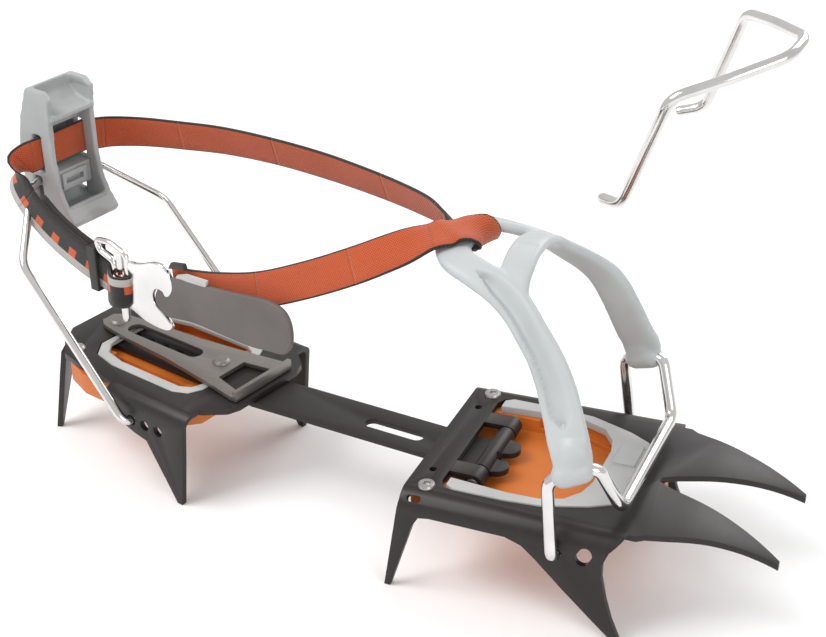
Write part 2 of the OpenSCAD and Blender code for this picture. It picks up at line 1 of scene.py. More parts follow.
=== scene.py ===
import bpy, bmesh, json, math
import numpy as np
from mathutils import Vector, Matrix, Quaternion, noise
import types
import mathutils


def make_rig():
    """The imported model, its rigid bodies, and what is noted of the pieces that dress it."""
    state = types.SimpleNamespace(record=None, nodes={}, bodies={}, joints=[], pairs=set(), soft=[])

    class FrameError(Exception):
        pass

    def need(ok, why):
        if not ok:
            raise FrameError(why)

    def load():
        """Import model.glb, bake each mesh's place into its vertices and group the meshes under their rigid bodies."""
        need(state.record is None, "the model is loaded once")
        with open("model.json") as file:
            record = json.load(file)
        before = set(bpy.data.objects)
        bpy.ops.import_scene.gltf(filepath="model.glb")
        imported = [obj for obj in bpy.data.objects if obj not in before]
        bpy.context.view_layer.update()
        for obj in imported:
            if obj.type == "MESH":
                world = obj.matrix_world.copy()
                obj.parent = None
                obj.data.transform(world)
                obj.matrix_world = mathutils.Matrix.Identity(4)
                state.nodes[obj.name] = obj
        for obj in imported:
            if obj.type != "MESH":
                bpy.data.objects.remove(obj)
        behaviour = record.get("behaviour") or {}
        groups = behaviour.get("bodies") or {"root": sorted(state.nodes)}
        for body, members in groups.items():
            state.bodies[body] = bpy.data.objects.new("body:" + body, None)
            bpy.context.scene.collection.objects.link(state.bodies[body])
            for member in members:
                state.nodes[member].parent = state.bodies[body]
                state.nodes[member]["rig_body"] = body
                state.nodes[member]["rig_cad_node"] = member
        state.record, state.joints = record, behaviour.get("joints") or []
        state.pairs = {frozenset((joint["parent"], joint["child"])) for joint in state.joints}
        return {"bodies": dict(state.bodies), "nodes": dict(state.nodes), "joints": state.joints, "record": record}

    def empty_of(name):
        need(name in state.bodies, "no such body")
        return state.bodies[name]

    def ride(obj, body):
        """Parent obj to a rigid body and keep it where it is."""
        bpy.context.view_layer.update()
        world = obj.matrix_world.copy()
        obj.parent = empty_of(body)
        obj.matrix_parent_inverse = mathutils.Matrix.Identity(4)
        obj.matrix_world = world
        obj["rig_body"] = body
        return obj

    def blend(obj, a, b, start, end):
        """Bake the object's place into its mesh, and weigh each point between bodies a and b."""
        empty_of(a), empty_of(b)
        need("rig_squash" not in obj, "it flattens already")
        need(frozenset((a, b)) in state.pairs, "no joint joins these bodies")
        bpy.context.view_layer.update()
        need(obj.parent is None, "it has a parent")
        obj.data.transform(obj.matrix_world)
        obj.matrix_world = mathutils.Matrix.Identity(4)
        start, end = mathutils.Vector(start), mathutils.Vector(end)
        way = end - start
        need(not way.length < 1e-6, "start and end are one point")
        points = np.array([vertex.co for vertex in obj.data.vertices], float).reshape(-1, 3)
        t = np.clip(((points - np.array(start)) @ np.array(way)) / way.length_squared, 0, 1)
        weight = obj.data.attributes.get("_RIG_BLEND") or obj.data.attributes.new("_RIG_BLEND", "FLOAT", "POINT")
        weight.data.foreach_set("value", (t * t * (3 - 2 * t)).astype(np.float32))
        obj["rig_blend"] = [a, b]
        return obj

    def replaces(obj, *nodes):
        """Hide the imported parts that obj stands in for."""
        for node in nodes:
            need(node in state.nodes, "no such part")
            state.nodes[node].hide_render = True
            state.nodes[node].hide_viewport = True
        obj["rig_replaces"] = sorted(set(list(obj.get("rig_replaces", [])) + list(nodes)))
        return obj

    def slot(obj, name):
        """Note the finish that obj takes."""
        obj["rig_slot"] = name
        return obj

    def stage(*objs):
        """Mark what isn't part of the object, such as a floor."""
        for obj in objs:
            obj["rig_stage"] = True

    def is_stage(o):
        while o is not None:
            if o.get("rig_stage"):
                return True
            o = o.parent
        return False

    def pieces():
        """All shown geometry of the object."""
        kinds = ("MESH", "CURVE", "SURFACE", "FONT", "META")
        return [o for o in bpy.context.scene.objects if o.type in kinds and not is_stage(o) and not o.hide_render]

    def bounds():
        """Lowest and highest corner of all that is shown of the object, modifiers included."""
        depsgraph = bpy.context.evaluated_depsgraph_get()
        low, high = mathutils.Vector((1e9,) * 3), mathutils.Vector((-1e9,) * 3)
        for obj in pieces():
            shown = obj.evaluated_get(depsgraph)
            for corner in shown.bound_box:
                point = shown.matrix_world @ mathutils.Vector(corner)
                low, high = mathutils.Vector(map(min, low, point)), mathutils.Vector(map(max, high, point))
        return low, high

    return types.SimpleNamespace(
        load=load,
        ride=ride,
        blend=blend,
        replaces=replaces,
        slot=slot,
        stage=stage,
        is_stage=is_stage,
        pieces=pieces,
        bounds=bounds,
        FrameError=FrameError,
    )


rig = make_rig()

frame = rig.load()
cad_lo, cad_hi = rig.bounds()
NODES = frame["nodes"]
MM = 0.001
TURN = math.radians(-15.7)


def F(x, y, z):
    """front section coordinates in millimetres to the row frame"""
    return Vector(((x - 63.0) * MM, y * MM, z * MM))


def H(x, y, z):
    """heel section coordinates in millimetres to the row frame"""
    c, s = math.cos(TURN), math.sin(TURN)
    return Vector(((c * x - s * y - 63.0) * MM, (s * x + c * y) * MM, z * MM))


# ------------------------------------------------------------------ camera
az, el, roll = math.radians(23.94), math.radians(28.96), math.radians(-1.758)
back = Vector((math.sin(az) * math.cos(el), -math.cos(az) * math.cos(el), math.sin(el)))
right = Vector((math.cos(az), math.sin(az), 0))
up = back.cross(right)
r2 = right * math.cos(roll) + up * math.sin(roll)
u2 = -right * math.sin(roll) + up * math.cos(roll)
cam_data = bpy.data.cameras.new("camera")
cam_data.sensor_width = 36
cam_data.lens = 36 * 1776.9 / 826
cam_data.clip_start, cam_data.clip_end = 0.05, 50
cam_data.dof.use_dof = False
cam = bpy.data.objects.new("camera", cam_data)
bpy.context.scene.collection.objects.link(cam)
M = Matrix((r2, u2, back)).transposed().to_4x4()
M.translation = F(298.13, -568.52, 396.54)
cam.matrix_world = M
bpy.context.scene.camera = cam

# ------------------------------------------------------------------ materials
class Nodes:
    def __init__(self, name):
        self.m = bpy.data.materials.new(name)
        self.m.use_nodes = True
        self.t = self.m.node_tree
        self.t.nodes.clear()
        self.out = self.t.nodes.new("ShaderNodeOutputMaterial")
        self.b = self.t.nodes.new("ShaderNodeBsdfPrincipled")
        self.t.links.new(self.b.outputs[0], self.out.inputs[0])

    def n(self, kind, **kw):
        k = self.t.nodes.new(kind)
        for a, v in kw.items():
            setattr(k, a, v)
        return k

    def link(self, a, b):
        self.t.links.new(a, b)

    def put(self, sock, v):
        if hasattr(v, "is_output") or isinstance(v, bpy.types.NodeSocket):
            self.link(v, sock)
        else:
            sock.default_value = v

    def math(self, op, a, b=None, c=None):
        k = self.n("ShaderNodeMath", operation=op)
        self.put(k.inputs[0], a)
        if b is not None:
            self.put(k.inputs[1], b)
        if c is not None:
            self.put(k.inputs[2], c)
        return k.outputs[0]

    def mix(self, f, a, b):
        k = self.n("ShaderNodeMix", data_type="RGBA")
        self.put(k.inputs[0], f)
        self.put(k.inputs[6], a)
        self.put(k.inputs[7], b)
        return k.outputs[2]

    def ramp(self, f, stops):
        k = self.n("ShaderNodeValToRGB")
        while len(k.color_ramp.elements) < len(stops):
            k.color_ramp.elements.new(0.5)
        for e, (p, c) in zip(k.color_ramp.elements, stops):
            e.position = p
            e.color = c if len(c) == 4 else (*c, 1)
        self.link(f, k.inputs[0])
        return k.outputs[0]

    def noise(self, scale, detail=4, rough=0.55, vec=None):
        k = self.n("ShaderNodeTexNoise")
        k.inputs["Scale"].default_value = scale
        k.inputs["Detail"].default_value = detail
        k.inputs["Roughness"].default_value = rough
        if vec is not None:
            self.link(vec, k.inputs["Vector"])
        else:
            self.link(self.coord(), k.inputs["Vector"])
        return k.outputs["Fac"]

    def coord(self):
        if not hasattr(self, "_c"):
            self._c = self.n("ShaderNodeTexCoord").outputs["Object"]
        return self._c

    def scaled(self, v, rot=(0, 0, 0)):
        k = self.n("ShaderNodeMapping")
        k.inputs["Scale"].default_value = v
        k.inputs["Rotation"].default_value = rot
        self.link(self.coord(), k.inputs["Vector"])
        return k.outputs[0]

    def bump(self, h, dist, strength=1.0, normal=None):
        k = self.n("ShaderNodeBump")
        k.inputs["Strength"].default_value = strength
        k.inputs["Distance"].default_value = dist
        self.link(h, k.inputs["Height"])
        if normal is not None:
            self.link(normal, k.inputs["Normal"])
        return k.outputs[0]

    def set(self, **kw):
        for k, v in kw.items():
            self.put(self.b.inputs[k.replace("_", " ")], v)
        return self.m


def lin(r, g, b):
    f = lambda c: ((c / 255 + 0.055) / 1.055) ** 2.4 if c > 10 else c / 255 / 12.92
    return (f(r), f(g), f(b), 1)


def edge_wear(N, dist=0.0006):
    """0 on flats, 1 near sharp edges, from the bevel normal"""
    bev = N.n("ShaderNodeBevel", samples=4)
    bev.inputs["Radius"].default_value = dist
    geo = N.n("ShaderNodeNewGeometry")
    d = N.n("ShaderNodeVectorMath", operation="DOT_PRODUCT")
    N.link(bev.outputs[0], d.inputs[0])
    N.link(geo.outputs["Normal"], d.inputs[1])
    return N.math("SUBTRACT", 1.0, d.outputs["Value"])


def coated_steel():
    N = Nodes("coated_steel")
    big = N.noise(38, 3)
    fine = N.noise(1800, 2)
    mott = N.noise(300, 5, 0.65)
    base = N.ramp(N.math("ADD", N.math("MULTIPLY", big, 0.5), N.math("MULTIPLY", mott, 0.5)),
                  [(0.3, lin(34, 30, 30)[:3]), (0.7, lin(44, 39, 38)[:3])])
    rough = N.math("ADD", N.math("MULTIPLY", mott, 0.14), 0.36)
    nb = N.bump(N.math("ADD", N.math("MULTIPLY", fine, 0.6), N.math("MULTIPLY", mott, 0.4)), 0.00008, 0.6)
    return N.set(Base_Color=base, Roughness=rough, Metallic=0.35, Specular_IOR_Level=0.5, Normal=nb)


def moulded(name, c0, c1, rough=0.5, grain=1200, depth=0.00005, sss=0.0):
    N = Nodes(name)
    big = N.noise(30, 3)
    fine = N.noise(grain, 3)
    col = N.ramp(big, [(0.3, lin(*c0)[:3]), (0.7, lin(*c1)[:3])])
    r = N.math("ADD", N.math("MULTIPLY", N.noise(220, 4), 0.12), rough - 0.06)
    return N.set(Base_Color=col, Roughness=r, Specular_IOR_Level=0.45, Normal=N.bump(fine, depth, 0.6))


def brushed(name, c0, c1, rough=0.32, rot=0.0, metal=0.9):
    N = Nodes(name)
    v = N.scaled((60, 2600, 2600), (0, 0, rot))
    s = N.noise(1.0, 4, 0.6, v)
    col = N.ramp(s, [(0.3, lin(*c0)[:3]), (0.7, lin(*c1)[:3])])
    r = N.math("ADD", N.math("MULTIPLY", s, 0.18), rough - 0.09)
    return N.set(Base_Color=col, Roughness=r, Metallic=metal, Normal=N.bump(s, 0.00003, 0.5))


def polished(name, c0=(226, 224, 222), rough=0.12):
    N = Nodes(name)
    s = N.noise(900, 3)
    b = N.noise(60, 3)
    col = N.ramp(b, [(0.3, lin(*[c * 0.93 for c in c0])[:3]), (0.7, lin(*c0)[:3])])
    r = N.math("ADD", N.math("MULTIPLY", s, 0.08), rough - 0.03)
    return N.set(Base_Color=col, Roughness=r, Metallic=1.0, Normal=N.bump(s, 0.000012, 0.4))


def weave(name, c_hi, c_lo, edge=None, edge_w=0.9, kind="plain"):
    """webbing: UV in millimetres, U along the strap and V across it from 0 to 16"""
    N = Nodes(name)
    uv = N.n("ShaderNodeUVMap")
    uv.uv_map = "UVMap"
    sep = N.n("ShaderNodeSeparateXYZ")
    N.link(uv.outputs[0], sep.inputs[0])
    u, v = sep.outputs[0], sep.outputs[1]
    col_i = N.math("FLOOR", N.math("DIVIDE", v, 0.62))
    odd = N.math("MODULO", col_i, 2.0)
    ph = N.math("ADD", N.math("DIVIDE", u, 1.15), N.math("MULTIPLY", odd, 0.5))
    rib = N.math("ABSOLUTE", N.math("SINE", N.math("MULTIPLY", ph, math.pi)))
    fv = N.math("ABSOLUTE", N.math("SUBTRACT", N.math("FRACT", N.math("DIVIDE", v, 0.62)), 0.5))
    h = N.math("MULTIPLY", rib, N.math("SUBTRACT", 1.0, N.math("MULTIPLY", N.math("MULTIPLY", fv, fv), 2.4)))
    fuzz = N.noise(2400, 3)
    big = N.noise(45, 3)
    # colour from the thread height: painted shade, darker in the valleys between threads and lighter on the crests,
    # mixed with random tone from the fuzz and big noises
    shade = N.math("ADD", N.math("MULTIPLY", h, 0.62), N.math("ADD", N.math("MULTIPLY", fuzz, 0.2), N.math("MULTIPLY", big, 0.18)))
    col = N.ramp(shade, [(0.15, lin(*c_lo)[:3]), (0.85, lin(*c_hi)[:3])])
    if edge is not None:
        far = N.math("GREATER_THAN", N.math("ABSOLUTE", N.math("SUBTRACT", v, 8.0)), 8.0 - edge_w)
        col = N.mix(far, col, lin(*edge))
    if kind == "marked":
        # light band along the lower edge with square blocks above it
        band = N.math("LESS_THAN", v, 4.4)
        inb = N.math("MULTIPLY", N.math("GREATER_THAN", v, 4.4), N.math("LESS_THAN", v, 8.6))
        blk = N.math("LESS_THAN", N.math("MODULO", u, 11.0), 4.4)
        # the print colours take the same painted thread shade and random tone
        gshade = N.ramp(shade, [(0.15, lin(140, 136, 132)[:3]), (0.85, lin(190, 186, 182)[:3])])
        oshade = N.ramp(shade, [(0.15, lin(160, 62, 26)[:3]), (0.85, lin(214, 96, 50)[:3])])
        col = N.mix(band, col, gshade)
        col = N.mix(N.math("MULTIPLY", inb, blk), col, oshade)
    nb = N.bump(N.math("ADD", h, N.math("MULTIPLY", fuzz, 0.25)), 0.00022, 0.8)
    r = N.math("SUBTRACT", 0.92, N.math("MULTIPLY", h, 0.16))
    m = N.set(Base_Color=col, Roughness=r, Normal=nb, Specular_IOR_Level=0.25)
    N.b.inputs["Sheen Weight"].default_value = 0.25
    N.b.inputs["Sheen Roughness"].default_value = 0.5
    return m


MAT = {
    "steel": coated_steel(),
    "orange": moulded("orange_plastic", (186, 96, 26), (204, 112, 40), 0.52),
    "grey_soft": moulded("soft_grey_plastic", (160, 160, 158), (180, 180, 178), 0.55),
    "screw_steel": brushed("screw_steel", (150, 148, 146), (196, 194, 192), 0.3),
    "pin_steel": brushed("pin_steel", (92, 88, 86), (120, 116, 112), 0.38),
    "lock_steel": brushed("lock_steel", (134, 129, 124), (150, 145, 140), 0.42, rot=-TURN),
    "wire_steel": polished("wire_steel"),
    "lever_grey": moulded("lever_plastic", (146, 148, 148), (166, 168, 168), 0.46),
    "bail_grey": moulded("bail_plastic", (168, 172, 172), (180, 184, 184), 0.42),
    "webbing_orange": weave("webbing_orange", (204, 92, 48), (136, 52, 22), edge=(44, 30, 24), edge_w=0.7),
    "webbing_black": weave("webbing_black", (46, 42, 40), (20, 18, 17), kind="marked"),
    "webbing_edge": weave("webbing_edge", (52, 46, 43), (24, 21, 20)),
    "tab_rubber": moulded("tab_rubber", (86, 80, 77), (100, 94, 91), 0.6, grain=1600),
    "dark_plastic": moulded("dark_plastic", (40, 37, 36), (52, 49, 48), 0.5),
}

slot_of = {s["node"]: s["material_slot"] for s in frame["record"]["subparts"]}


def paint(obj, mat):
    obj.data.materials.clear()
    obj.data.materials.append(MAT[mat])


def shade(obj, angle=35):
    for p in obj.data.polygons:
        p.use_smooth = True
    a = math.cos(math.radians(angle))
    bm = bmesh.new()
    bm.from_mesh(obj.data)
    for e in bm.edges:
        if len(e.link_faces) == 2:
            e.smooth = e.link_faces[0].normal.dot(e.link_faces[1].normal) > a
    bm.to_mesh(obj.data)
    bm.free()


def refined(node, name, bevel=0.35, segments=2, mat=None, angle=35):
    """a finished copy of a CAD node: welded, edges rounded, shaded smooth"""
    me = NODES[node].data.copy()
    o = bpy.data.objects.new(name, me)
    bpy.context.scene.collection.objects.link(o)
    bm = bmesh.new()
    bm.from_mesh(me)
    bmesh.ops.remove_doubles(bm, verts=bm.verts, dist=1e-6)
    bmesh.ops.dissolve_limit(bm, angle_limit=math.radians(0.6), verts=bm.verts, edges=bm.edges)
    bmesh.ops.recalc_face_normals(bm, faces=bm.faces)
    if bevel:
        ed = [e for e in bm.edges if len(e.link_faces) == 2 and e.calc_face_angle() > math.radians(angle)]
        bmesh.ops.bevel(bm, geom=ed, offset=bevel * MM, offset_type="OFFSET", segments=segments, profile=0.6, affect="EDGES", clamp_overlap=True)
    bm.to_mesh(me)
    bm.free()
    for at in ("custom_normal",):
        if at in me.attributes:
            me.attributes.remove(me.attributes[at])
    paint(o, mat or slot_of[node])
    shade(o)
    body = NODES[node]["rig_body"]
    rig.ride(o, body)
    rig.replaces(o, node)
    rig.slot(o, slot_of[node])
    return o


# ------------------------------------------------------------------ mesh helpers
def curve(p, m):
    """Catmull-Rom through the points, m steps between each pair"""
    p = [np.array(q, float) for q in p]
    out = []
    g = lambda k: p[max(0, min(len(p) - 1, k))]
    for k in range(len(p) - 1):
        a, b, c, d = g(k - 1), g(k), g(k + 1), g(k + 2)
        for n in range(m):
            t = n / m
            out.append(0.5 * (2 * b + (c - a) * t + (2 * a - 5 * b + 4 * c - d) * t * t + (3 * b - a - 3 * c + d) * t ** 3))
    out.append(p[-1])
    return np.array(out)


def rounded(p, d, k=8):
    p = [np.array(q, float) for q in p]
    out = [p[0]]
    for n in range(1, len(p) - 1):
        a, b, c = p[n - 1], p[n], p[n + 1]
        e = min(d, np.linalg.norm(a - b) * 0.48, np.linalg.norm(c - b) * 0.48)
        u, w = (a - b) / np.linalg.norm(a - b), (c - b) / np.linalg.norm(c - b)
        for q in range(k + 1):
            t = q / k
            out.append((1 - t) ** 2 * (b + u * e) + 2 * t * (1 - t) * b + t * t * (b + w * e))
    out.append(p[-1])
    return np.array(out)


def dense(q, step):
    """the same path with points about step apart"""
    q = np.array(q, float)
    seg = np.linalg.norm(np.diff(q, axis=0), axis=1)
    cum = np.concatenate([[0], np.cumsum(seg)])
    n = max(2, int(cum[-1] / step) + 1)
    s_ = np.linspace(0, cum[-1], n)
    return np.stack([np.interp(s_, cum, q[:, c]) for c in range(3)], 1)


def tangents(q):
    t = np.gradient(q, axis=0)
    return t / np.linalg.norm(t, axis=1)[:, None]


def new_mesh(name, verts, faces, conv=None):
    me = bpy.data.meshes.new(name)
    me.from_pydata([conv(*v) if conv else Vector(v) for v in verts], [], faces)
    me.update()
    bm = bmesh.new()
    bm.from_mesh(me)
    bmesh.ops.recalc_face_normals(bm, faces=bm.faces)
    bm.to_mesh(me)
    bm.free()
    o = bpy.data.objects.new(name, me)
    bpy.context.scene.collection.objects.link(o)
    return o


def ring_faces(n, s, caps=True):
    f = [(r * s + k, r * s + (k + 1) % s, (r + 1) * s + (k + 1) % s, (r + 1) * s + k) for r in range(n - 1) for k in range(s)]
    if caps:
        f += [tuple(range(s))[::-1], tuple((n - 1) * s + k for k in range(s))]
    return f


def tube(name, path, r, conv, seg=20, step=1.2, up=(0.3, 0.2, 1)):
    """a smooth round wire with softly rounded ends"""
    q = dense(path, step)
    t = tangents(q)
    u = np.array(up, float)
    v, rad = [], np.full(len(q), r, float)
    rad[0] = rad[-1] = r * 0.8
    for k in range(len(q)):
        u = u - (u @ t[k]) * t[k]
        u /= np.linalg.norm(u)
        w = np.cross(t[k], u)
        for a in range(seg):
            g = 2 * math.pi * a / seg
            v.append(q[k] + rad[k] * (math.cos(g) * u + math.sin(g) * w))
    return new_mesh(name, v, ring_faces(len(q), seg), conv)


def ring_sweep(q, a, t, seg=24, ea=0.6, eb=0.75):
    """points of a rounded flat section swept along q: a half width vectors, t half thickness"""
    d = tangents(q)
    v = []
    for k in range(len(q)):
        w = a[k] - (a[k] @ d[k]) * d[k]
        b = np.cross(d[k], w)
        b = b / np.linalg.norm(b) * t[k]
        for n in range(seg):
            g = 2 * math.pi * n / seg
            cs, sn = math.cos(g), math.sin(g)
            v.append(q[k] + np.sign(cs) * abs(cs) ** ea * w + np.sign(sn) * abs(sn) ** eb * b)
    return v


def joined(name, parts):
    bm = bmesh.new()
    for o in parts:
        o.data.transform(o.matrix_world)
        bm.from_mesh(o.data)
    me = bpy.data.meshes.new(name)
    bm.to_mesh(me)
    bm.free()
    for o in parts:
        bpy.data.objects.remove(o)
    o = bpy.data.objects.new(name, me)
    bpy.context.scene.collection.objects.link(o)
    return o


def remeshed(o, voxel, smooth=5, factor=0.5):
    """one skin over everything in o, softened"""
    m = o.modifiers.new("skin", "REMESH")
    m.mode = "VOXEL"
    m.voxel_size = voxel * MM
    m.use_smooth_shade = True
    if smooth:
        k = o.modifiers.new("soft", "SMOOTH")
        k.iterations = smooth
        k.factor = factor
    dg = bpy.context.evaluated_depsgraph_get()
    me = bpy.data.meshes.new_from_object(o.evaluated_get(dg))
    o.modifiers.clear()
    old = o.data
    o.data = me
    bpy.data.meshes.remove(old)
    for p in me.polygons:
        p.use_smooth = True
    return o


def cut(o, tool):
    """o minus tool"""
    m = o.modifiers.new("cut", "BOOLEAN")
    m.operation = "DIFFERENCE"
    m.solver = "EXACT"
    m.object = tool
    dg = bpy.context.evaluated_depsgraph_get()
    me = bpy.data.meshes.new_from_object(o.evaluated_get(dg))
    o.modifiers.clear()
    o.data = me
    bpy.data.objects.remove(tool)
    return o


def fix(o, node, mat=None, body=None, smooth_angle=None):
    if mat or not o.data.materials:
        paint(o, mat or slot_of[node])
    if smooth_angle:
        shade(o, smooth_angle)
    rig.ride(o, body or NODES[node]["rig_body"])
    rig.replaces(o, node)
    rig.slot(o, slot_of[node])
    return o


def prism(name, outline, y0, y1, conv, bevel=0.4, segs=2, hole=None):
    """a plate with outline in x and z between two y values, edges rounded"""
    n = len(outline)
    v = [(x, y0, z) for x, z in outline] + [(x, y1, z) for x, z in outline]
    f = [tuple(range(n)), tuple(range(2 * n - 1, n - 1, -1))] + [(k, (k + 1) % n, n + (k + 1) % n, n + k) for k in range(n)]
    o = new_mesh(name, v, f, conv)
    if bevel:
        rounded_edges(o, bevel, segs)
    return o


def rounded_edges(o, width, segs=2, angle=35):
    bm = bmesh.new()
    bm.from_mesh(o.data)
    ed = [e for e in bm.edges if len(e.link_faces) == 2 and e.calc_face_angle() > math.radians(angle)]
    bmesh.ops.bevel(bm, geom=ed, offset=width * MM, offset_type="OFFSET", segments=segs, profile=0.6, affect="EDGES", clamp_overlap=True)
    bm.to_mesh(o.data)
    bm.free()


def closed_curve(p, m=6):
    n = len(p)
    e = [np.array(q, float) for q in p]
    out = []
    for k in range(n):
        a, b, c, d = e[k - 1], e[k], e[(k + 1) % n], e[(k + 2) % n]
        for i_ in range(m):
            t = i_ / m
            out.append(0.5 * (2 * b + (c - a) * t + (2 * a - 5 * b + 4 * c - d) * t * t + (3 * b - a - 3 * c + d) * t ** 3))
    return [tuple(q) for q in out]


# ------------------------------------------------------------------ webbing
BODIES_CHAIN = ["lever", "slider", "heel_bail", "heel", "bar", "front", "toe_bail"]


def band(name, q, w, conv, node, mats, width=15.0, thick=1.5, u0=0.0, a=None, b=None, flip=False, tan=None):
    """one length of webbing along q (dense points), w across it; mats for the +side, -side and edges.
    a alone rides that body, a and b together bend between the two"""
    t = tangents(q) if tan is None else tan / np.linalg.norm(tan, axis=1)[:, None]
    prof = [(1, 0.55), (0.93, 1), (0.5, 1), (0, 1), (-0.5, 1), (-0.93, 1), (-1, 0.55), (-1, -0.55), (-0.93, -1), (-0.5, -1), (0, -1), (0.5, -1), (0.93, -1), (1, -0.55)]
    s = len(prof)
    v = []
    for k in range(len(q)):
        e = w[k] - (w[k] @ t[k]) * t[k]
        e /= np.linalg.norm(e)
        n = np.cross(t[k], e)
        for pa, pb in prof:
            v.append(q[k] + e * pa * width / 2 + n * pb * thick / 2)
    me = bpy.data.meshes.new(name)
    me.from_pydata([conv(*p) for p in v], [], ring_faces(len(q), s))
    me.update()
    uv = me.uv_layers.new(name="UVMap")
    arc = np.concatenate([[0], np.cumsum(np.linalg.norm(np.diff(q, axis=0), axis=1))]) + u0
    for m_ in mats:
        me.materials.append(MAT[m_])
    for p in me.polygons:
        ks = [vi % s for vi in p.vertices]
        top = all(1 <= k_ <= 5 for k_ in ks)
        low = all(8 <= k_ <= 12 for k_ in ks)
        p.material_index = 0 if top else (1 if low else 2)
        p.use_smooth = True
        for li, vi in zip(p.loop_indices, p.vertices):
            r_, k_ = divmod(vi, s)
            vv = (prof[k_][0] + 1) * 8
            uv.data[li].uv = (arc[r_], 16 - vv if flip else vv)
    bm = bmesh.new()
    bm.from_mesh(me)
    bmesh.ops.recalc_face_normals(bm, faces=bm.faces)
    bm.to_mesh(me)
    bm.free()
    o = bpy.data.objects.new(name, me)
    bpy.context.scene.collection.objects.link(o)
    if b is None:
        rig.ride(o, a)
    else:
        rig.blend(o, a, b, conv(*q[0]), conv(*q[-1]))
    if node:
        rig.replaces(o, node)
    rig.slot(o, slot_of[node] if node else "webbing_orange")
    return o


def run(name, path, wide, conv, mats, cuts, width=15.0, thick=1.5, step=1.6, u0=0.0, flip=False):
    """a long strap cut into lengths: cuts is a list of (control point where the length ends, body a, body b, node)"""
    m = 12
    q, w = curve(path, m), curve(wide, m)
    seg = np.linalg.norm(np.diff(q, axis=0), axis=1)
    cum = np.concatenate([[0], np.cumsum(seg)])
    arc_at = lambda c: float(np.interp(c * m, np.arange(len(cum)), cum))
    at = lambda s_: (np.stack([np.interp(s_, cum, q[:, c]) for c in range(3)], 1), np.stack([np.interp(s_, cum, w[:, c]) for c in range(3)], 1))
    t_all = tangents(q)
    f0 = 0.0
    out = []
    for k, (c1, a, b, node) in enumerate(cuts):
        f1 = arc_at(c1)
        n = max(4, int((f1 - f0) / step) + 1)
        s_ = np.linspace(f0, f1, n)
        qq, ww = at(s_)
        tt_ = np.stack([np.interp(s_, cum, t_all[:, c]) for c in range(3)], 1)
        out.append(band(f"{name}_{k}", qq, ww, conv, node, mats, width, thick, u0 + f0, a, b, flip, tt_))
        f0 = f1
    return out


DONE = set()

# ---- flexible toe bail
ARM = [((128.6, 45.4, 27), (6.8, 0, 1.4), 3.4), ((127.8, 44.6, 33), (8.4, 0, 0), 3.0), ((126, 43.1, 38), (8.8, 0, 0), 2.8),
       ((123.9, 41.3, 44), (8.6, 0, 0), 2.7), ((121.8, 39.8, 50), (8.5, 0, 0), 2.7), ((119.6, 38.2, 56), (8.4, 0, 0), 2.7),
       ((116.9, 36.9, 62), (8, 0, 1), 2.7), ((113.2, 35, 68), (6.6, -0.6, 3), 2.7), ((107.4, 31.6, 74), (4.6, -2.4, 4.2), 2.7),
       ((99.5, 26.4, 80.7), (3.6, -3.8, 4.2), 2.7), ((91, 23, 85.8), (2.4, -5, 3.8), 2.6), ((81, 20.4, 89.2), (2.4, -5.4, 2.6), 2.6),
       ((72.5, 16.8, 91.2), (4.4, -5, 1.4), 2.6), ((67.6, 9.5, 92.1), (6.4, -3.2, 0.3), 2.5), ((66.3, 0, 92.4), (7.5, 0, 0), 2.4),
       ((66.5, -2, 92.4), (7.5, 0, 0), 2.4)]
BRIDGE = [((98, -25, 82.4), (5.6, 0, 1), 2.4), ((95.6, -18, 88), (6.4, 0, 0), 2.4), ((94.8, -9, 91.6), (6.5, 0, 0), 2.3),
          ((94.6, 0, 92.8), (6.5, 0, 0), 2.3), ((94.8, 9, 91.6), (6.5, 0, 0), 2.3), ((95.6, 18, 88), (6.4, 0, 0), 2.4),
          ((98, 25, 82.4), (5.6, 0, 1), 2.4)]


def swept(name, data, conv, mirror=False, m=6):
    q, a, t = curve([d[0] for d in data], m), curve([d[1] for d in data], m), curve([(d[2], 0, 0) for d in data], m)[:, 0]
    if mirror:
        q, a = q * np.array([1, -1, 1]), a * np.array([1, -1, 1])
    return new_mesh(name, ring_sweep(q, a, t), ring_faces(len(q), 24), conv)


def ball_chain(name, c0, c1, r, conv, n=7, seg=24, stretch=(1, 1, 1)):
    """a rounded bulge from c0 to c1"""
    c0, c1 = np.array(c0, float), np.array(c1, float)
    d = (c1 - c0) / np.linalg.norm(c1 - c0)
    rings = [(c0 - d * r * math.cos(g), r * math.sin(g)) for g in np.linspace(0.15, math.pi / 2, n)]
    rings += [(c1 + d * r * math.cos(g), r * math.sin(g)) for g in np.linspace(math.pi / 2, 0.15, n)]
    u = np.array((0, 1, 0), float)
    u -= (u @ d) * d
    u /= np.linalg.norm(u)
    w = np.cross(d, u)
    v = []
    for c, rr in rings:
        for k in range(seg):
            g = 2 * math.pi * k / seg
            v.append(c + rr * (math.cos(g) * u * stretch[0] + math.sin(g) * w * stretch[1]))
    return new_mesh(name, v, ring_faces(len(rings), seg), conv)


parts = []
for sgn in (1, -1):
    parts.append(swept("arm", ARM, F, sgn < 0))
    parts.append(ball_chain("end", (125.4, 46.6 * sgn, 25.2), (132.0, 44.8 * sgn, 27.8), 4.9, F))
    # lower swelling where the wire passes
    parts.append(ball_chain("swell", (127.6, 45.6 * sgn, 27), (128.6, 45.0 * sgn, 36), 5.0, F, stretch=(0.8, 1.3, 1)))
parts.append(swept("bridge", BRIDGE, F))
bail = remeshed(joined("flexible_bail", parts), 0.75, 8, 0.5)

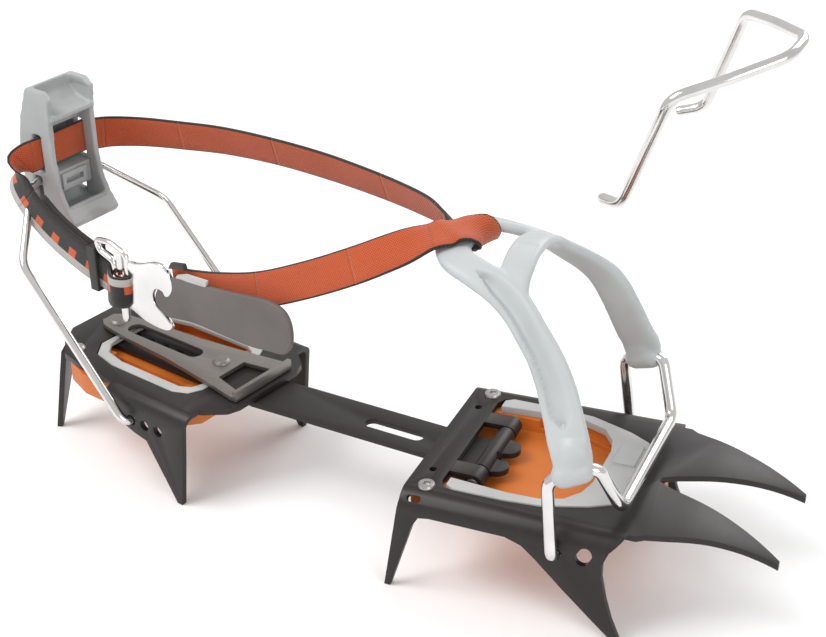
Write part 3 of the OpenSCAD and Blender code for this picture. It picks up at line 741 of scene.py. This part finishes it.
# spear-shaped hollow on the outside of each arm, shallow plain pad on the bridge
co = np.array([v.co for v in bail.data.vertices], float) * 1000 + np.array([63.0, 0, 0])
qa = curve([d[0] for d in ARM[1:13]], 10)
wa = curve([d[1] for d in ARM[1:13]], 10)
ta = tangents(qa)
tt = np.linspace(0, 1, len(qa))
move = np.zeros_like(co)
sm = lambda x: np.clip(x, 0, 1) ** 2 * (3 - 2 * np.clip(x, 0, 1))
for sgn in (1, -1):
    q_ = qa * np.array([1, sgn, 1])
    w_ = wa * np.array([1, sgn, 1])
    d_ = ta * np.array([1, sgn, 1])
    idx = np.where(co[:, 1] * sgn > 4)[0]
    dist = np.linalg.norm(co[idx][:, None, :] - q_[None], axis=2)
    near = dist.argmin(1)
    for vi, k in zip(idx, near):
        w0 = w_[k] - (w_[k] @ d_[k]) * d_[k]
        hw = np.linalg.norm(w0)
        e = w0 / hw
        n_ = np.cross(d_[k], e) * sgn
        r_ = co[vi] - q_[k]
        if r_ @ n_ < 0.8:
            continue
        x = (r_ @ e) / hw
        t_ = tt[k]
        a0, a1 = 0.13, 0.93
        if not a0 < t_ < a1:
            continue
        f_ = (t_ - a0) / (a1 - a0)
        body_w = 0.66 * sm(f_ / 0.16) * sm((1 - f_) / 0.16)
        c_ = 0.05
        if body_w < 0.03:
            continue
        y = (x - c_) / body_w
        if abs(y) < 1:
            # steep wall on the rear side, gentle slope on the front side
            prof = sm((y + 1) / 0.3) * sm((1 - y) / 1.5)
            move[vi] -= n_ * 2.7 * prof * sm(body_w / 0.3)
pad = (np.abs(co[:, 0] - 94.8) < 4.6) & (np.abs(co[:, 1] + 8.5) < 8.0) & (co[:, 2] > 88)
for vi in np.where(pad)[0]:
    fx = sm((4.6 - abs(co[vi, 0] - 94.8)) / 0.8) * sm((8.0 - abs(co[vi, 1] + 8.5)) / 0.8)
    move[vi, 2] -= 0.5 * fx
for v, m_ in zip(bail.data.vertices, move):
    v.co = v.co + Vector(m_ * MM)
fix(bail, "flex_bail", "bail_grey")
DONE.add("flex_bail")

# ---- wires
TW = [(122.5, 42.6, -10.5), (122.5, 51, -10.5), (119.6, 48.4, 22.9), (137.4, 43.2, 29.8), (144.7, 34.4, 7.3)]
TW = TW + [(x, -y, z) for x, y, z in TW[::-1]]
fix(tube("toe_bail_wire", rounded(TW, 5.0), 2.5, F), "toe_wire", "wire_steel", smooth_angle=60)
HW = [(-72.9, 33.6, -12.5), (-72.9, 44.4, -12.5), (-129.6, 43.2, 47), (-149, 17.4, 71)]
HW = HW + [(x, -y, z) for x, y, z in HW[::-1]]
fix(tube("heel_bail_wire", rounded(HW, 5.0), 2.0, H), "heel_wire", "wire_steel", smooth_angle=60)
SP = [(-12, 39.6, -1.6), (0, 44.6, 0), (24.4, 40, 53), (43, 26.8, 57.2), (64, 8.4, 62)]
SP = SP + [(x, -y, z) for x, y, z in SP[::-1]]


def spare_place(x, y, z):
    e = Matrix.Rotation(math.radians(-8.8), 3, "Z") @ Matrix.Rotation(math.radians(-2.4), 3, "Y") @ Matrix.Rotation(math.radians(8.4), 3, "X")
    p = e @ Vector((float(x), float(y), float(z))) + Vector((107.8, 141.4, 74.4))
    return F(p.x, p.y, p.z)


fix(tube("spare_bail_wire", rounded(SP, 6.0), 2.5, spare_place), "spare_toe_bail", "wire_steel", smooth_angle=60)
DONE |= {"toe_wire", "heel_wire", "spare_toe_bail"}

# ---- heel lever: the CAD shell with a hooded top, softened all round
lev = NODES["heel_lever"].data.copy()
lo_ = bpy.data.objects.new("lever_shell", lev)
bpy.context.scene.collection.objects.link(lo_)
lo_.matrix_world = NODES["heel_lever"].matrix_world.copy()
scoop = prism("scoop", [(-148.6, 122), (-148.6, 109.4), (-145, 105.8), (-139.6, 104.2), (-130, 103.6), (-130, 122)], -10.2, 10.2, H, bevel=0)
rounded_edges(scoop, 2.0, 3, 60)
lo_ = cut(lo_, scoop)
shelf = prism("shelf", [(-135.2, 103.8), (-139.4, 104.4), (-144.8, 106.0), (-148.2, 109.4), (-151.6, 107.6), (-154.6, 99.4), (-145, 101.8), (-138.8, 101.6), (-135.2, 101.4)], -12.4, 12.4, H, bevel=0)
lip = prism("lip", [(-139.5, 53.5), (-132, 57.5), (-133.2, 61.4), (-141.5, 57.5)], -12.4, 12.4, H, bevel=0)
lev_o = remeshed(joined("heel_lever_shell", [lo_, shelf, lip]), 0.62, 5, 0.5)
fix(lev_o, "heel_lever", "lever_grey")
DONE.add("heel_lever")

# ---- cross-piece and slider block seen in the window
cp = prism("lever_cross_piece", closed_curve([(-151, 95.4), (-150.2, 103.6), (-146.6, 104.2), (-144.6, 100.6), (-144.8, 95.8), (-147.6, 94.6)], 4), -10.9, 10.9, H, bevel=0.5)
fix(cp, "lever_insert", "lever_grey", smooth_angle=30)
DONE.add("lever_insert")

# ---- straps
ORANGE = ("webbing_orange", "webbing_black", "webbing_edge")
BLACK = ("webbing_black", "webbing_orange", "webbing_edge")
main_path = [(-134.2, 54.0, 84.9), (-128, 61.0, 84.2), (-115, 66.6, 83.6), (-96, 68, 84), (-72, 66.4, 85.4), (-45, 62, 86),
             (-18, 55.6, 86), (5, 48, 86), (25, 40, 86), (42, 31, 86.4), (53, 23.4, 86.6), (59.6, 17.4, 86.5),
             (67, 11.5, 86.6), (73, 7, 87.4), (76.0, 4.6, 90.6), (75.6, 2, 94.9), (71.6, -1.6, 97.1), (66, -6.4, 97.5), (59.4, -12, 96.6),
             (46, -16.8, 90.6), (29, -19, 82), (8, -19.4, 72.2), (-14, -17.4, 63), (-36, -13.4, 57), (-58, -9, 53.4)]
main_wide = [(0, 0, 1), (0, -.1, 1), (0, -.15, 1), (0, -.2, 1), (0, -.25, 1), (0, -.3, 1), (0, -.3, 1), (0, -.35, 1), (0, -.4, 1),
             (0, -.5, 1), (.1, -.8, .8), (.3, -1, .4), (-.4, -1, .15), (-.4, -1, 0), (-.3, -1, 0), (-.3, -1, 0), (-.3, -1, 0), (-.3, -1, -.1),
             (-.15, -1, -.4), (.1, -.8, -1), (.1, -.45, -1), (.1, -.38, -1), (0, -.3, -1), (0, -.2, -1), (0, -.1, -1)]
chain = [(0.7, "lever", "slider", "strap_far"), (3, "slider", "heel_bail", "strap_far"), (5, "heel_bail", "heel", "strap_far"),
         (7.5, "heel", "bar", "strap_far"), (9.5, "bar", "front", "strap_far"), (11, "front", "toe_bail", "strap_far"),
         (18, "toe_bail", None, "strap_toe_loop"), (20, "toe_bail", "front", "strap_near"), (22, "front", "bar", "strap_near"),
         (24, "bar", "heel", "strap_near")]
run("strap_main", main_path, main_wide, F, ORANGE, chain, step=1.2)
# through the lever's window, round its outer side and down to the buckle, marked side outwards
ankle = [(-146.2, 17.2, 85), (-146.0, 12, 85), (-145.4, 0, 85.2), (-145.8, -9, 85.1), (-146.4, -14.6, 84.9), (-148.2, -19.4, 83.8), (-149.6, -23.0, 80.6), (-148.0, -25.2, 75.6),
         (-142.4, -26.0, 68.6), (-134, -26.4, 62.2), (-123, -26.7, 56.4), (-111, -26.8, 51.8), (-100, -26.8, 48.2), (-91, -26.6, 45.6)]
ankle_w = [(0, 0, 1), (0, 0, 1), (0, 0, 1), (0, 0, 1), (0, 0, 1), (.05, .05, 1), (.15, .1, 1), (.25, .1, 1), (.32, .1, 1), (.32, .1, 1),
           (.3, .1, 1), (.25, .1, 1), (.2, .05, 1), (.2, 0, 1)]
chain = [(4.2, "lever", None, "strap_lever_pass"), (5.4, "lever", "slider", "strap_ankle_near"), (8, "slider", "heel_bail", "strap_ankle_near"),
         (13, "heel_bail", "heel", "strap_ankle_near")]
run("strap_ankle", ankle, ankle_w, H, BLACK, chain, step=1.2)
tail = [(-136.6, -23.6, 66.4), (-126, -24.4, 60.2), (-114, -24.6, 55.2), (-102, -24.6, 51.4), (-93, -24.8, 49.2)]
run("strap_tail", tail, [(.3, .1, 1)] * 5, H, ("webbing_edge", "webbing_orange", "webbing_edge"), [(4, "heel_bail", "heel", "strap_ankle_near")], width=13.5)
# turn of webbing round the buckle's pin
lp = [(-95, -24.6), (-88, -30.6), (-83.6, -32.4), (-79.4, -30.6), (-77.9, -26.6), (-79.8, -22.8), (-84, -21.4), (-92, -22.6)]
zc = lambda k: 43.6
q_ = curve([(x, y, zc(0)) for x, y in lp], 8)
band("strap_pin_turn", dense(q_, 0.8), np.tile(np.array([0.12, 0, 1.0]), (len(dense(q_, 0.8)), 1)), H, "strap_ankle_near", BLACK, 15.0, 1.6, 3.0, "heel", None, True)
DONE |= {"strap_far", "strap_near", "strap_toe_loop", "strap_lever_pass", "strap_ankle_near"}

# ---- buckle: polished plate with a forked end and an open hook
outer = [(-79.4, 36.4), (-75.4, 34.6), (-70, 32.4), (-62, 31.4), (-56, 32), (-53.6, 35), (-57.6, 39), (-62.4, 42.4), (-63.6, 46.6),
         (-61.4, 50.2), (-57.6, 50.4), (-55.8, 48.4), (-53.2, 49.6), (-51.2, 54), (-52.4, 59.8), (-56.6, 63), (-62.4, 62.6), (-68, 60.4), (-73, 59), (-76.6, 58.6),
         (-77.8, 54.8), (-76.2, 47), (-77, 40.4)]
plate = prism("buckle_body", closed_curve(outer, 4), -28.8, -26.8, H, bevel=0.7, segs=3)
ring = rounded([(-86.4, -27.8, 49.4), (-79.2, -27.8, 49.4), (-78.2, -27.8, 60.6), (-88, -27.8, 64.2), (-96.6, -27.8, 63.2), (-95.4, -27.8, 58.4), (-86.6, -27.8, 55.6), (-86.4, -27.8, 49.4)], 2.6, 6)
rg = tube("buckle_ring", ring, 1.35, H, seg=14, step=0.8, up=(0, 1, 0))
bk = joined("buckle_plate_body", [plate, rg])
fix(bk, "buckle_plate", "wire_steel", smooth_angle=40)
fix(tube("buckle_pin_rod", [(-83.4, -27, 27.6), (-83.4, -27, 62)], 1.9, H, seg=24, step=1.0, up=(1, 0, 0)), "buckle_pin", "wire_steel", smooth_angle=50)
DONE |= {"buckle_plate", "buckle_pin"}

# ---- tab at the strap's end, keeper
tab = closed_curve([(-62.6, 43.6), (-61.4, 49.4), (-56, 56), (-48, 59.6), (-40, 60), (-24, 61.2), (-8, 63.4), (3, 64.6), (11, 62.8), (14.6, 57), (14.4, 48.6),
                    (10.4, 43), (2, 41.6), (-10, 40.2), (-26, 40.4), (-40, 40.6), (-50, 39.4), (-57.4, 38.6)], 5)
tb = prism("strap_tab_plate", tab, -28.4, -26.0, H, bevel=0.9, segs=3)
bm = bmesh.new()
bm.from_mesh(tb.data)
bm.to_mesh(tb.data)
bm.free()
fix(tb, "strap_tab", "tab_rubber", smooth_angle=40)
sm1 = prism("tab_side_grey", [(-49.6, 57.4), (-48.2, 60.6), (-43, 62.6), (-30.5, 63.2), (-31.6, 59.6)], -28.2, -26.6, H, bevel=0.5)
fix(sm1, "strap_tab", "grey_soft", smooth_angle=40)
sm2 = prism("tab_side_dark", [(-53.4, 62.0), (-51.6, 65.2), (-44, 66.6), (-43.2, 64.2)], -28.0, -25.6, H, bevel=0.6)
fix(sm2, "strap_tab", "dark_plastic", smooth_angle=40)
kp = refined("strap_keeper", "keeper_loop", bevel=0.7, segments=3, mat="dark_plastic")
DONE |= {"strap_tab", "strap_keeper"}

# ------------------------------------------------------------------ remaining pieces from the CAD shapes
BEVEL = {"front_frame": 0.45, "heel_frame": 0.45, "link_bar": 0.4, "front_antisnow_core": 0.8, "heel_antisnow_core": 0.9,
         "front_antisnow_rim": 0.9, "heel_antisnow_rim": 0.8, "height_slider": 0.9, "lock_lever": 0.3, "front_screws": 0.25}
for node in NODES:
    if node in DONE:
        continue
    refined(node, "piece_" + node, bevel=BEVEL.get(node, 0.35), segments=3 if BEVEL.get(node, 0.35) > 0.6 else 2)

# ------------------------------------------------------------------ stage
me = bpy.data.meshes.new("floor")
z = -46.2 * MM
s = 6.0
me.from_pydata([(-s, -s, z), (s, -s, z), (s, s, z), (-s, s, z)], [], [(0, 1, 2, 3)])
floor = bpy.data.objects.new("floor", me)
bpy.context.scene.collection.objects.link(floor)
N = Nodes("floor_white")
N.set(Base_Color=(0.86, 0.86, 0.86, 1), Roughness=0.9)
floor.data.materials.append(N.m)
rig.stage(floor)

world = bpy.data.worlds.new("world")
bpy.context.scene.world = world
world.use_nodes = True
world.node_tree.nodes["Background"].inputs[0].default_value = (1, 1, 1, 1)
world.node_tree.nodes["Background"].inputs[1].default_value = 0.75


def area(name, loc, target, size, power, sy=None):
    d = bpy.data.lights.new(name, "AREA")
    d.shape = "RECTANGLE"
    d.size, d.size_y = size, sy or size
    d.energy = power
    o = bpy.data.objects.new(name, d)
    bpy.context.scene.collection.objects.link(o)
    o.location = loc
    o.rotation_mode = "QUATERNION"
    o.rotation_quaternion = (Vector(target) - Vector(loc)).to_track_quat("-Z", "Y")
    return o


area("key", (-0.7, -0.5, 1.2), (0, 0, 0), 0.8, 14)
area("fill", (1.2, -0.9, 0.7), (0, 0, 0), 0.8, 7)
area("rim", (0.3, 1.3, 0.9), (0, 0, 0), 0.9, 10)
sc = bpy.context.scene
sc.view_settings.view_transform = "Standard"

lo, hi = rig.bounds()
json.dump({"cad": [list(cad_lo), list(cad_hi)], "visual": [list(lo), list(hi)]}, open("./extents.json", "w"))
